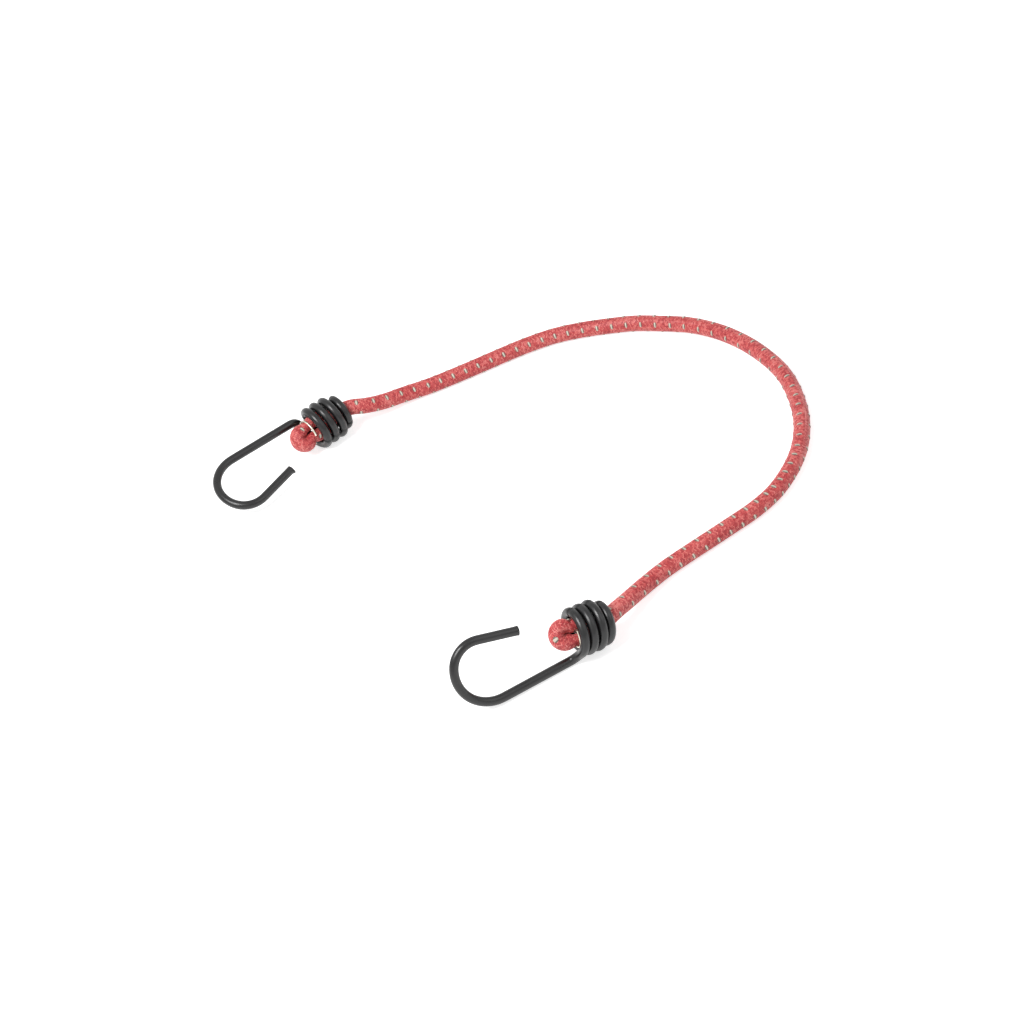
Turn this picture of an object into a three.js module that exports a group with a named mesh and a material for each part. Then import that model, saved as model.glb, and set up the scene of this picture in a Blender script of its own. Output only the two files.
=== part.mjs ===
// An elastic luggage cord. A braided cover holds nine square-cut latex strands. At each end the
// cord runs up through a coiled wire hook, folds back on itself and is caught by a wire clip, so
// that the fold can't be drawn back through the coil. Each hook is one bent steel wire in a black
// plastic coating, and it can turn round the cord.
//
// Millimetres, +Z up. The cord lies on the surface z = 0 as it was laid down, and the origin is
// on that surface, under the middle of the two hooks.
import * as THREE from 'three';

const { Vector2, Vector3 } = THREE;
const turn = 2 * Math.PI;
const degree = turn / 360;

// The cord
const cordDiameter = 8;
const coverWall = 0.9;
const coreClearance = 0.2;
const strandsAcross = 3;
const strandGap = 0.12;
const cordSides = 8;

// The wire of a hook, under its coating
const steelDiameter = 3.4;
const coatingClearance = 0.1;
const coatingWall = 0.32;
const wireSides = 6;
const wireEndInset = 0.3;

// The coil of a hook. Its bore takes two squeezed legs of the cord, and its last turns draw in
// round the single cord. The turns lean along the axis, most at the lean's angle from the shank.
const boreShare = 0.91;
const coilTurns = 3.88;
const coilStepsPerTurn = 24;
const coilLean = 0.16;
const leanAngle = 112 * degree;
const taperTurns = 1.3;
const tailClearance = 0.74;

// The hook in front of the coil: a straight shank, a wide bend, a tighter one and a straight tip
const mouthBendRadius = 4.6;
const wideBendRadius = 16.8;
const wideBendAngle = 114 * degree;
const tightBendRadius = 11.6;
const tightBendAngle = 82 * degree;
const bendStep = 12 * degree;

// The cord's two legs inside a coil, and its fold in front of it. The cord is squeezed flatter
// there, and each width is a share of its thickness.
const legGap = 0.6;
const legClearance = 0.68;
const legWidthShare = 1.6;
const neckWidthShare = 1.67;
const foldGap = 0.3;
const foldThicknessShare = 0.875;
const foldWidthShare = 1.29;
const foldSteps = 8;
const squeezeLength = 1.9;
const returnLegEnd = 8;
const releaseLength = 5;
const legAngle = 35 * degree;

// The wire clip that holds the two legs together, thin enough to pass through the coil's bore
const clipWidth = 1;
const clipThickness = 0.75;
const clipClearance = 0.3;
const clipBoreGap = 0.43;
const clipOpening = 65 * degree;
const clipStep = 15 * degree;

// How far apart the two coils' mouths lie, from front to back. The places of the mouths and of
// the cord between them are shares of it.
const layDepth = 233.2;

// The two hooks as they lie: where the coil's mouth is, the coil's heading and tilt, and the
// angle of the shank round the coil, counted from the bottom towards the front. The clip's depth
// is inside the mouth, or in front of it where negative. The exit lists how far past the coil's
// end, and how far to the front, the cord runs there.
const hooks = {
  left: {
    mouthShares: [-0.3418, 0.4754],
    heading: 28 * degree,
    tilt: -0.6 * degree,
    shankAngle: 249.9 * degree,
    shankStandoff: 1.2,
    shankLength: 35.8,
    shankSplay: 4 * degree,
    tipLength: 21.3,
    turnGap: 0.81,
    foldSetback: 5.5,
    foldShift: 0.9,
    clipDepth: -2.2,
    clipTurn: -6 * degree,
    exit: [[0, 0.35], [2.4, 1], [5.2, 2.6]],
  },
  right: {
    mouthShares: [0.0279, -0.5246],
    heading: 14.2 * degree,
    tilt: -6.9 * degree,
    shankAngle: 11.6 * degree,
    shankStandoff: 2.2,
    shankLength: 32.8,
    shankSplay: 5.9 * degree,
    tipLength: 19.15,
    turnGap: 0.2,
    foldSetback: 3.4,
    foldShift: -1.5,
    clipDepth: 0.3,
    clipTurn: 95 * degree,
    exit: [[0, -0.35], [2.1, -0.8], [4, -1.9]],
  },
};

// The middle of the cord between the two coils: where it is, as shares of the lay's depth, and
// how far it is lifted off the surface, as a share of the coil's radius
const freeRouteShares = [
  [-0.2183, 0.5115, 0.564], [-0.1883, 0.5166, 0.362], [-0.1308, 0.5304, 0.106],
  [-0.0733, 0.5347, 0], [-0.0137, 0.5385, 0], [0.0437, 0.5445, 0],
  [0.1012, 0.5514, 0], [0.1595, 0.5557, 0], [0.2178, 0.5527, 0],
  [0.2723, 0.5385, 0], [0.3289, 0.5166, 0], [0.3842, 0.4892, 0],
  [0.4357, 0.4515, 0], [0.4863, 0.409, 0], [0.5309, 0.3524, 0],
  [0.5682, 0.2821, 0], [0.596, 0.2019, 0], [0.6141, 0.1118, 0],
  [0.6141, 0.0141, 0], [0.599, -0.0803, 0], [0.5695, -0.1613, 0],
  [0.5287, -0.2248, 0], [0.4841, -0.2711, 0], [0.4357, -0.3011, 0],
  [0.3881, -0.3208, 0], [0.3366, -0.3414, 0], [0.2851, -0.3616, 0],
  [0.2345, -0.3843, 0.021], [0.1861, -0.419, 0.16], [0.1424, -0.4611, 0.436],
];

const wireRadius = steelDiameter / 2 + coatingClearance + coatingWall;
const cordRadius = cordDiameter / 2;
const boreRadius = cordDiameter * boreShare;
const coilRadius = boreRadius + wireRadius;
const tailRadius = cordRadius + tailClearance + wireRadius;
const clipOuterRadius = boreRadius - clipBoreGap;
const clipInnerRadius = clipOuterRadius - clipThickness;

const materials = {
  braid: { color: '#d4565a', roughness: 0.8, metalness: 0 },
  latex: { color: '#d9c89c', roughness: 0.7, metalness: 0 },
  coating: { color: '#3b3b3d', roughness: 0.42, metalness: 0 },
  steel: { color: '#a8a8a4', roughness: 0.35, metalness: 1 },
  clip: { color: '#ded8c8', roughness: 0.35, metalness: 1 },
};

function smooth(share) {
  return share * share * (3 - 2 * share);
}

function mix(from, to, share) {
  return from + (to - from) * share;
}

// A regular outline, with a flat side towards its first axis
function regularOutline(radius, sides) {
  const half = turn / sides / 2;
  return Array.from({ length: sides }, (_, corner) => {
    const angle = half + (corner * turn) / sides;
    return new Vector2(Math.cos(angle), Math.sin(angle)).multiplyScalar(radius);
  });
}

// A box outline round a middle point, in the same direction round as a regular one
function boxOutline(middle, halfWidth, halfHeight) {
  const corners = [[1, -1], [1, 1], [-1, 1], [-1, -1]];
  return corners.map(([x, y]) => new Vector2(middle.x + x * halfWidth, middle.y + y * halfHeight));
}

// Gives each station of a path its direction, unless it has one, and two axes square to it that
// stay as close as they can to the axis that the station names
function addFrames(stations) {
  return stations.map((station, index) => {
    const before = stations[Math.max(index - 1, 0)].at;
    const after = stations[Math.min(index + 1, stations.length - 1)].at;
    const along = station.along ?? after.clone().sub(before).normalize();
    let first;
    let second;
    if (station.second) {
      first = station.second.clone().cross(along).normalize();
      second = along.clone().cross(first);
    } else {
      second = along.clone().cross(station.first).normalize();
      first = second.clone().cross(along);
    }
    return { ...station, along, first, second };
  });
}

// The outline's points at one station, drawn in where the cord is squeezed
function ringAt(station, outline) {
  const [firstScale, secondScale] = station.squeeze ?? [1, 1];
  return outline.map((corner) => station.at.clone()
    .addScaledVector(station.first, corner.x * firstScale)
    .addScaledVector(station.second, corner.y * secondScale));
}

// One closed body that carries an outline along a path. With a bore it is a sleeve, open at both
// ends. The stations differ in outline, so no plain extrusion fits.
function sweep(stations, outline, bore = null) {
  const rings = stations.map((station) => ringAt(station, outline));
  const boreRings = bore ? stations.map((station) => ringAt(station, bore)) : [];
  const points = [...rings.flat(), ...boreRings.flat()];
  const sides = outline.length;
  const last = rings.length - 1;
  const faces = [];
  const outer = (ring, corner) => ring * sides + (corner % sides);
  const inner = (ring, corner) => rings.length * sides + outer(ring, corner);

  for (let ring = 0; ring < last; ring += 1) {
    for (let corner = 0; corner < sides; corner += 1) {
      const next = corner + 1;
      faces.push(outer(ring, corner), outer(ring, next), outer(ring + 1, next));
      faces.push(outer(ring, corner), outer(ring + 1, next), outer(ring + 1, corner));
      if (bore) {
        faces.push(inner(ring, corner), inner(ring + 1, next), inner(ring, next));
        faces.push(inner(ring, corner), inner(ring + 1, corner), inner(ring + 1, next));
      }
    }
  }
  for (let corner = 0; corner < sides; corner += 1) {
    const next = corner + 1;
    if (bore) {
      faces.push(outer(0, corner), inner(0, corner), inner(0, next));
      faces.push(outer(0, corner), inner(0, next), outer(0, next));
      faces.push(outer(last, corner), inner(last, next), inner(last, corner));
      faces.push(outer(last, corner), outer(last, next), inner(last, next));
    } else if (corner > 0 && next < sides) {
      faces.push(outer(0, 0), outer(0, next), outer(0, corner));
      faces.push(outer(last, 0), outer(last, corner), outer(last, next));
    }
  }

  const geometry = new THREE.BufferGeometry().setFromPoints(points);
  geometry.setIndex(faces);
  geometry.computeVertexNormals();
  return geometry;
}

function piece(name, geometry, material) {
  const mesh = new THREE.Mesh(geometry, new THREE.MeshStandardMaterial(materials[material]));
  mesh.name = name;
  return mesh;
}

// The hook from its tip to the coil's mouth, in its own plane. The coil's axis is x, with the
// mouth at zero, and y points from the axis to the shank.
function hookStations(hook) {
  const walk = [];
  let at = new Vector2(-mouthBendRadius, coilRadius + hook.shankStandoff);
  let heading = turn / 2 - hook.shankSplay;

  const mark = () => {
    const outward = heading - turn / 4;
    walk.push({
      at: new Vector3(at.x, at.y, 0),
      first: new Vector3(Math.cos(outward), Math.sin(outward), 0),
    });
  };
  const runStraight = (length) => {
    at = at.clone().add(new Vector2(Math.cos(heading), Math.sin(heading)).multiplyScalar(length));
    mark();
  };
  const runRound = (radius, angle) => {
    const steps = Math.ceil(angle / bendStep);
    for (let step = 0; step < steps; step += 1) {
      const chord = 2 * radius * Math.sin(angle / steps / 2);
      heading += angle / steps / 2;
      at = at.clone().add(new Vector2(Math.cos(heading), Math.sin(heading)).multiplyScalar(chord));
      heading += angle / steps / 2;
      mark();
    }
  };

  runStraight(hook.shankLength);
  runRound(wideBendRadius, wideBendAngle);
  runRound(tightBendRadius, tightBendAngle);
  runStraight(hook.tipLength);
  return walk.reverse();
}

// The bend from the shank into the first turn, laid on the coil's drum, and then the turns. They
// wind left-handed away from the mouth, and the last ones draw in round the single cord.
function coilStations(hook) {
  const pitch = 2 * wireRadius + hook.turnGap;
  const slope = Math.atan(pitch / (turn * coilRadius));
  const bendAngle = turn / 4 - slope;
  const bendSteps = Math.ceil(bendAngle / (turn / coilStepsPerTurn));
  const shankRadius = coilRadius + hook.shankStandoff;
  const stations = [];
  const mark = (x, radius, angle, leanShare = 1) => {
    const first = new Vector3(0, Math.cos(angle), -Math.sin(angle));
    const lean = leanShare * coilLean * radius * Math.cos(angle - leanAngle);
    const at = first.clone().multiplyScalar(radius).setX(x + lean);
    stations.push({ at, first });
  };

  let mouthAngle = 0;
  let mouthX = 0;
  for (let step = 0; step <= bendSteps; step += 1) {
    const share = step / bendSteps;
    mouthX = mouthBendRadius * (Math.sin(share * bendAngle) - 1);
    mouthAngle = (mouthBendRadius * (1 - Math.cos(share * bendAngle))) / coilRadius;
    mark(mouthX, mix(shankRadius, coilRadius, smooth(share)), mouthAngle, smooth(share));
  }

  const wound = coilTurns * turn - mouthAngle;
  const steps = Math.round((wound / turn) * coilStepsPerTurn);
  for (let step = 1; step <= steps; step += 1) {
    const angle = mouthAngle + (wound * step) / steps;
    const taperShare = Math.max(0, (angle / turn - coilTurns + taperTurns) / taperTurns);
    const radius = mix(coilRadius, tailRadius, smooth(taperShare));
    mark(mouthX + (pitch * (angle - mouthAngle)) / turn, radius, angle);
  }
  return stations;
}

// How far the wire's last turn lies from the mouth, along the axis
function tailX(hook) {
  const stations = coilStations(hook);
  return stations[stations.length - 1].at.x;
}

// The axes of a hook as it lies: along the coil, level across it, and down from it
function coilAxes(hook) {
  const flat = Math.cos(hook.tilt);
  const axis = new Vector3(
    Math.cos(hook.heading) * flat,
    Math.sin(hook.heading) * flat,
    Math.sin(hook.tilt),
  );
  const across = axis.clone().cross(new Vector3(0, 0, 1)).normalize();
  const down = axis.clone().cross(across);
  const around = (angle) => down.clone().multiplyScalar(Math.cos(angle))
    .addScaledVector(across, Math.sin(angle));
  return { axis, around };
}

// A point on the surface, or over it, from its shares of the lay's depth
function layPoint([xShare, yShare], height) {
  return new Vector3(xShare * layDepth, yShare * layDepth, height);
}

// The hook's own frame, at a height where its lowest point meets the surface
function hookFrame(hook, stations) {
  const { axis, around } = coilAxes(hook);
  const shankward = around(hook.shankAngle);
  const frame = new THREE.Matrix4().makeBasis(axis, shankward, axis.clone().cross(shankward));
  const outline = regularOutline(wireRadius, wireSides);
  const points = stations.flatMap((station) => ringAt(station, outline));
  const lowest = Math.min(...points.map((point) => point.clone().applyMatrix4(frame).z));
  return frame.setPosition(layPoint(hook.mouthShares, -lowest));
}

// The least gap between turns of the coil, on the points of its middle line
function leastCoilGap(stations) {
  const apart = coilStepsPerTurn / 2;
  let least = Infinity;
  stations.forEach((station, index) => {
    stations.slice(index + apart).forEach((other) => {
      least = Math.min(least, station.at.distanceTo(other.at) - 2 * wireRadius);
    });
  });
  return least;
}

// The steel wire stops just inside both ends of its coating
function insetEnds(stations) {
  const inset = stations.map((station) => ({ ...station, at: station.at.clone() }));
  const first = inset[0];
  const last = inset[inset.length - 1];
  first.at.addScaledVector(first.along, wireEndInset);
  last.at.addScaledVector(last.along, -wireEndInset);
  return inset;
}

function makeHook(side) {
  const hook = hooks[side];
  const coil = coilStations(hook);
  const stations = addFrames([...hookStations(hook), ...coil]);
  const steelOutline = regularOutline(steelDiameter / 2, wireSides);
  const coatingOutline = regularOutline(wireRadius, wireSides);
  const coatingBore = regularOutline(steelDiameter / 2 + coatingClearance, wireSides);

  const group = new THREE.Group();
  hook.frame = hookFrame(hook, stations);
  hook.frame.decompose(group.position, group.quaternion, group.scale);
  group.add(piece(`${side}_hook_wire`, sweep(insetEnds(stations), steelOutline), 'steel'));
  group.add(piece(`${side}_hook_coating`, sweep(stations, coatingOutline, coatingBore), 'coating'));
  console.log(`${side} coil, least gap between turns: ${leastCoilGap(coil).toFixed(2)} mm`);
  return group;
}

// One end of the cord, from the cut end of the leg that comes back, round the fold and along the
// other leg until it is round again and on the coil's axis
function cordEnd(hook) {
  const { axis, around } = coilAxes(hook);
  const mouth = new Vector3().setFromMatrixPosition(hook.frame);
  const outLeg = around(legAngle);
  const second = around(legAngle + turn / 4);
  const foldX = -hook.foldSetback;
  const clipEnd = hook.clipDepth + clipWidth;
  const foldHalf = cordRadius * foldThicknessShare;
  const neckHalf = (clipInnerRadius - clipClearance - legGap / 2) / 2;
  const legHalf = (boreRadius - legClearance - legGap / 2) / 2;
  const foldOffset = foldHalf + foldGap / 2;
  const neckOffset = neckHalf + legGap / 2;
  const legOffset = legHalf + legGap / 2;

  const station = (x, offset, halfThickness, widthShare, along) => ({
    at: mouth.clone().addScaledVector(axis, x).addScaledVector(outLeg, offset),
    along,
    second,
    squeeze: [halfThickness / cordRadius, (widthShare * halfThickness) / cordRadius],
  });
  const leg = (way) => {
    const along = axis.clone().multiplyScalar(way);
    return [
      station(hook.clipDepth, way * neckOffset, neckHalf, neckWidthShare, along),
      station(clipEnd, way * neckOffset, neckHalf, neckWidthShare, along),
      station(clipEnd + squeezeLength, way * legOffset, legHalf, legWidthShare, along),
      station(returnLegEnd, way * legOffset, legHalf, legWidthShare, along),
    ];
  };
  const fold = Array.from({ length: foldSteps + 1 }, (_, step) => {
    const angle = ((step / foldSteps) - 0.5) * (turn / 2);
    const x = foldX - foldOffset * Math.cos(angle);
    const offset = hook.foldShift + foldOffset * Math.sin(angle);
    const along = axis.clone().multiplyScalar(Math.sin(angle))
      .addScaledVector(outLeg, Math.cos(angle));
    return station(x, offset, foldHalf, foldWidthShare, along);
  });
  const release = [0.5, 1].map((share) => station(
    returnLegEnd + releaseLength * share,
    mix(legOffset, 0, smooth(share)),
    mix(legHalf, cordRadius, smooth(share)),
    mix(legWidthShare, 1, smooth(share)),
  ));
  return [...leg(-1).reverse(), ...fold, ...leg(1), ...release];
}

// The same stretch of cord, run through the other way
function turnedBack(stations) {
  return stations.slice().reverse().map((station) => ({
    ...station,
    along: station.along?.clone().negate(),
  }));
}

// Where the free cord leaves a coil: on the axis where it is round again, then past the coil's
// end and a little to the side that it bends to
function exitPoints(hook) {
  const { axis, around } = coilAxes(hook);
  const mouth = new Vector3().setFromMatrixPosition(hook.frame);
  const front = around(turn / 4);
  const place = (x, aside) => mouth.clone().addScaledVector(axis, x).addScaledVector(front, aside);
  const pastTail = hook.exit.map(([beyond, aside]) => place(tailX(hook) + beyond, aside));
  return [place(returnLegEnd + releaseLength, 0), ...pastTail];
}

// The stations of the free stretch. Its second axis is carried along without a twist, and then
// turned a little more at each station, so that it fits the folds at both ends.
function freeStretch(points, startSecond, endSecond) {
  const last = points.length - 1;
  const carried = [];
  addFrames(points.map((at) => ({ at, second: startSecond }))).forEach(({ at, along }, index) => {
    const before = index > 0 ? carried[index - 1].second : startSecond;
    const first = before.clone().cross(along).normalize();
    carried.push({ at, along, first, second: along.clone().cross(first) });
  });
  const { first, second } = carried[last];
  const twist = Math.atan(-endSecond.dot(first) / endSecond.dot(second));
  return carried.slice(1, -1).map((station, index) => ({
    at: station.at,
    second: station.second.applyAxisAngle(station.along, (twist * (index + 1)) / last),
  }));
}

// The whole cord, from one cut end to the other
function cordStations() {
  const start = cordEnd(hooks.left);
  const end = turnedBack(cordEnd(hooks.right));
  const freeRoute = freeRouteShares.map(([x, y, liftShare]) => (
    layPoint([x, y], cordRadius + liftShare * coilRadius)
  ));
  const points = [...exitPoints(hooks.left), ...freeRoute, ...exitPoints(hooks.right).reverse()];
  const middle = freeStretch(points, start[0].second, end[0].second);
  const sameWay = middle[middle.length - 1].second.dot(end[0].second) > 0;
  end.forEach((station) => {
    station.second = station.second.clone().multiplyScalar(sameWay ? 1 : -1);
  });
  return addFrames([...start, ...middle, ...end]);
}

function makeCord() {
  const stations = cordStations();
  const innerRadius = cordRadius - coverWall;
  const innerFlat = innerRadius * Math.cos(turn / cordSides / 2);
  const coreHalf = (innerFlat - coreClearance) / Math.SQRT2;
  const pitch = (2 * coreHalf + strandGap) / strandsAcross;
  const strandHalf = (pitch - strandGap) / 2;
  const middle = (strandsAcross - 1) / 2;

  const group = new THREE.Group();
  group.add(piece('cord_cover', sweep(
    stations,
    regularOutline(cordRadius, cordSides),
    regularOutline(innerRadius, cordSides),
  ), 'braid'));
  for (let row = 0; row < strandsAcross; row += 1) {
    for (let column = 0; column < strandsAcross; column += 1) {
      const at = new Vector2((column - middle) * pitch, (row - middle) * pitch);
      const name = `core_strand_${row * strandsAcross + column + 1}`;
      group.add(piece(name, sweep(stations, boxOutline(at, strandHalf, strandHalf)), 'latex'));
    }
  }
  return group;
}

// An open ring of flat wire, closed round both legs at the coil's mouth
function makeClip(side) {
  const hook = hooks[side];
  const { axis, around } = coilAxes(hook);
  const radius = clipInnerRadius + clipThickness / 2;
  const middle = new Vector3().setFromMatrixPosition(hook.frame)
    .addScaledVector(axis, hook.clipDepth + clipWidth / 2);
  const span = turn - clipOpening;
  const steps = Math.round(span / clipStep);
  const stations = Array.from({ length: steps + 1 }, (_, step) => {
    const first = around(legAngle + hook.clipTurn + clipOpening + (span * step) / steps);
    return { at: middle.clone().addScaledVector(first, radius), first };
  });
  const outline = boxOutline(new Vector2(0, 0), clipThickness / 2, clipWidth / 2);
  return piece(`${side}_cord_clip`, sweep(addFrames(stations), outline), 'clip');
}

const bungeeCord = new THREE.Group();
const hookPair = new THREE.Group().add(makeHook('left'), makeHook('right'));
bungeeCord.add(hookPair, makeClip('left'), makeClip('right'), makeCord());

// The origin goes under the middle of the two hooks
hookPair.updateMatrixWorld(true);
const middleOfHooks = new THREE.Box3().setFromObject(hookPair, true).getCenter(new Vector3());
bungeeCord.position.set(-middleOfHooks.x, -middleOfHooks.y, 0);

export default bungeeCord;
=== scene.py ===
"""The visual model of a short elastic luggage cord with a coiled wire hook at each end.

Lengths in this script are millimetres until a mesh is made, and angles are degrees. Each long
piece is made straight, along Z, by Geometry Nodes and then laid on its path: the hook's bent
line, the clip's ring or the cord's route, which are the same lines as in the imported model.
"""
import math

import bpy
import numpy as np
from mathutils import Matrix, Vector


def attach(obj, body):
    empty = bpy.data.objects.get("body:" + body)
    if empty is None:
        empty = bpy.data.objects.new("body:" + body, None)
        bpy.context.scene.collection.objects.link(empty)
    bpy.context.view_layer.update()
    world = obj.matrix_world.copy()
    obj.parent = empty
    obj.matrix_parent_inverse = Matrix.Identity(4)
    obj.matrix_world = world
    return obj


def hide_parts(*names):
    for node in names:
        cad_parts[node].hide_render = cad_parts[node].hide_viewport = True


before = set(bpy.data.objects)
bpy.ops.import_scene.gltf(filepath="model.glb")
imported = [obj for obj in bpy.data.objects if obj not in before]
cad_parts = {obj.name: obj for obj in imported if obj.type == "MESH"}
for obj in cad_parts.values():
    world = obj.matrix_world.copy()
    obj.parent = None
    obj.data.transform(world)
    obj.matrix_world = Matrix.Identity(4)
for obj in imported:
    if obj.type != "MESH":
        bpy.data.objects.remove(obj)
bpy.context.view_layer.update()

MM = 0.001

# The cord. Its two legs lie side by side in the coil, are squeezed flatter by the clip and swell
# out again in the fold. HALF is half of a leg's thickness where the legs face each other, WIDTH is
# how many times as wide it is the other way, and GAP is what is left between the legs; the fold's
# legs press into each other a little.
CORD_RADIUS = 4.0
COVER_WALL = 0.9
LEG_GAP, LEG_HALF, LEG_WIDTH = 0.6, 3.15, 1.6
NECK_HALF, NECK_WIDTH = 2.75, 1.67
FOLD_GAP, FOLD_HALF, FOLD_WIDTH = -0.5, 3.75, 1.2
# How far past the clip its squeeze is gone, how deep in the coil the returning leg is cut off, and
# over what length from there the other leg grows round and comes to the middle
SQUEEZE_LENGTH, RETURN_LEG_END, RELEASE_LENGTH = 1.9, 8.0, 5.0
# The outgoing leg's place round the coil, from the bottom towards the front
LEG_ANGLE = 35.0
CORD_STEP = 0.8

# The wire of a hook, and the hook's shape. A bend is (radius, angle).
STEEL_RADIUS, BORE_RADIUS, WIRE_RADIUS = 1.7, 1.8, 2.12
COIL_RADIUS, TAIL_RADIUS, COIL_TURNS, TAPER_TURNS = 9.4, 6.86, 3.88, 1.3
COIL_LEAN, LEAN_ANGLE = 0.16, 112.0
MOUTH_BEND, WIDE_BEND, TIGHT_BEND = 4.6, (16.8, 114.0), (11.6, 82.0)
WIRE_STEP, MOUTH_STEPS, COIL_STEPS = 0.5, 14, 440

# What the cutter left at a wire's tip: how far along it the rim is raised, and how narrow a burr
# is round it
RIM_LENGTH, BURR_FOCUS = 1.1, 5.0

# The clip round the two legs of the cord. CLIP_OPENING is the angle between its ends.
CLIP_RADIUS, CLIP_THICK, CLIP_WIDE, CLIP_OPENING = 6.475, 0.85, 1.15, 65.0
CLIP_STEPS = 90

# Each hook: the middle of its coil's mouth, the coil's heading and tilt, the shank's angle round
# the coil from the bottom towards the front, and the pitch of the turns. The shank stands off the
# coil's axis by shank_radius and splays away from it, and tip is the straight end of the wire.
# The fold's middle is set back in front of the mouth, and shifted aside along the legs' line.
# exit gives the cord behind the coil: how far along the axis, and how far to the front. The clip's
# depth is inside the mouth, or in front of it where negative, and it is turned round the legs.
# rim_lip is the raised rim all round the tip and rim_burr the burr on one side of it.
HOOKS = {
    "left": dict(
        mouth=(-25.9239, 116.5418, 11.3098), heading=28.0, tilt=-0.6, shank=249.9, pitch=5.05,
        shank_radius=10.6, shank_length=35.8, splay=4.0, tip=21.3, setback=5.5, shift=0.9,
        exit=[(0, 0.35), (2.4, 1.0), (5.2, 2.6)], clip_depth=-2.2, clip_turn=-6.0,
        rim_lip=0.05, rim_burr=0.75,
    ),
    "right": dict(
        mouth=(60.2902, -116.6582, 12.7389), heading=14.2, tilt=-6.9, shank=11.6, pitch=4.44,
        shank_radius=11.6, shank_length=32.8, splay=5.9, tip=19.15, setback=3.4, shift=-1.1,
        exit=[(0, -0.35), (2.1, -0.8), (4, -1.9)], clip_depth=0.3, clip_turn=95.0,
        rim_lip=0.16, rim_burr=0.0,
    ),
}

# The middle of the cord between the coils, as it lies on the surface
FREE_ROUTE = [
    (2.9, 125.0, 9.3), (9.9, 126.1, 7.4), (23.3, 129.4, 5.0), (36.7, 130.4, 4.0),
    (50.6, 131.3, 4.0), (64.0, 132.7, 4.0), (77.4, 134.3, 4.0), (91.0, 135.3, 4.0),
    (104.6, 134.6, 4.0), (117.3, 131.3, 4.0), (130.5, 126.1, 4.0), (143.4, 119.8, 4.0),
    (155.4, 111.0, 4.0), (167.2, 101.1, 4.0), (177.6, 87.9, 4.0), (186.3, 71.5, 4.0),
    (192.8, 52.8, 4.0), (197.0, 31.8, 4.0), (197.0, 9.0, 4.0), (193.5, -13.0, 4.0),
    (186.6, -31.9, 4.0), (177.1, -46.7, 4.0), (166.7, -57.5, 4.0), (155.4, -64.5, 4.0),
    (144.3, -69.1, 4.0), (132.3, -73.9, 4.0), (120.3, -78.6, 4.0), (108.5, -83.9, 4.2),
    (97.2, -92.0, 5.5), (87.0, -101.9, 8.1),
]


def turned(angle):
    """The cosine and the sine of an angle."""
    return math.cos(math.radians(angle)), math.sin(math.radians(angle))


def smooth(share):
    """A share from 0 to 1, eased at both ends."""
    return share * share * (3 - 2 * share)


def mix(start, end, share):
    return start + (end - start) * share


# ---- Lines that the pieces are laid on ----


SPLINE_STEPS = 40


def smooth_line(knots, step):
    """Rows about a step apart on a smooth curve through the knots. A row's first three numbers
    are a point, and the rest change along with it."""
    knots = np.array(knots, float)
    gaps = np.linalg.norm(np.diff(knots[:, :3], axis=0), axis=1)
    at = np.concatenate([[0], np.cumsum(gaps)])
    slopes = np.gradient(knots, at, axis=0)
    rows = []
    for index, gap in enumerate(gaps):
        t = np.linspace(0, 1, SPLINE_STEPS, endpoint=False)[:, None]
        rows.append(
            (2 * t**3 - 3 * t**2 + 1) * knots[index]
            + (t**3 - 2 * t**2 + t) * gap * slopes[index]
            + (3 * t**2 - 2 * t**3) * knots[index + 1]
            + (t**3 - t**2) * gap * slopes[index + 1]
        )
    rows = np.concatenate([*rows, knots[-1:]])
    return respaced(rows, step)


def respaced(rows, step):
    """The same line, with its rows evenly about a step apart."""
    run = np.concatenate([[0], np.cumsum(np.linalg.norm(np.diff(rows[:, :3], axis=0), axis=1))])
    wanted = np.linspace(0, run[-1], round(run[-1] / step) + 1)
    return np.stack([np.interp(wanted, run, column) for column in rows.T], axis=1)


def rounded(points, reach):
    """The same points with sharp changes of direction eased over that many neighbours."""
    weights = np.hanning(2 * reach + 3)[1:-1]
    padded = np.pad(points, ((reach, reach), (0, 0)), mode="reflect", reflect_type="odd")
    columns = [np.convolve(column, weights / weights.sum(), "valid") for column in padded.T]
    return np.stack(columns, axis=1)


def path_object(name, points, seconds, squeezes=None):
    """A line of points, in metres, that carries the two cross axes a piece is laid along. The
    axes are shorter or longer than 1 where the piece is squeezed."""
    points, seconds = np.array(points, float), np.array(seconds, float)
    along = np.gradient(points, axis=0)
    along /= np.linalg.norm(along, axis=1, keepdims=True)
    seconds -= (seconds * along).sum(axis=1, keepdims=True) * along
    seconds /= np.linalg.norm(seconds, axis=1, keepdims=True)
    firsts = np.cross(seconds, along)
    if squeezes is not None:
        firsts, seconds = firsts * squeezes[:, :1], seconds * squeezes[:, 1:]
    mesh = bpy.data.meshes.new(name)
    mesh.from_pydata((points * MM).tolist(), [(i, i + 1) for i in range(len(points) - 1)], [])
    for label, values in (("first", firsts), ("second", seconds)):
        mesh.attributes.new(label, "FLOAT_VECTOR", "POINT").data.foreach_set(
            "vector", values.astype(np.float32).ravel()
        )
    path = bpy.data.objects.new(name, mesh)
    bpy.context.scene.collection.objects.link(path)
    return path


def length_of(points):
    """The length of a line of points."""
    return float(np.linalg.norm(np.diff(np.array(points), axis=0), axis=1).sum())


def coil_axes(hook):
    """The coil's axis, and the direction at an angle round it, from down towards the front."""
    heading, tilt = turned(hook["heading"]), turned(hook["tilt"])
    axis = Vector((heading[0] * tilt[0], heading[1] * tilt[0], tilt[1]))
    across = axis.cross(Vector((0, 0, 1))).normalized()
    down = axis.cross(across)
    return axis, lambda angle: down * turned(angle)[0] + across * turned(angle)[1]


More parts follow.
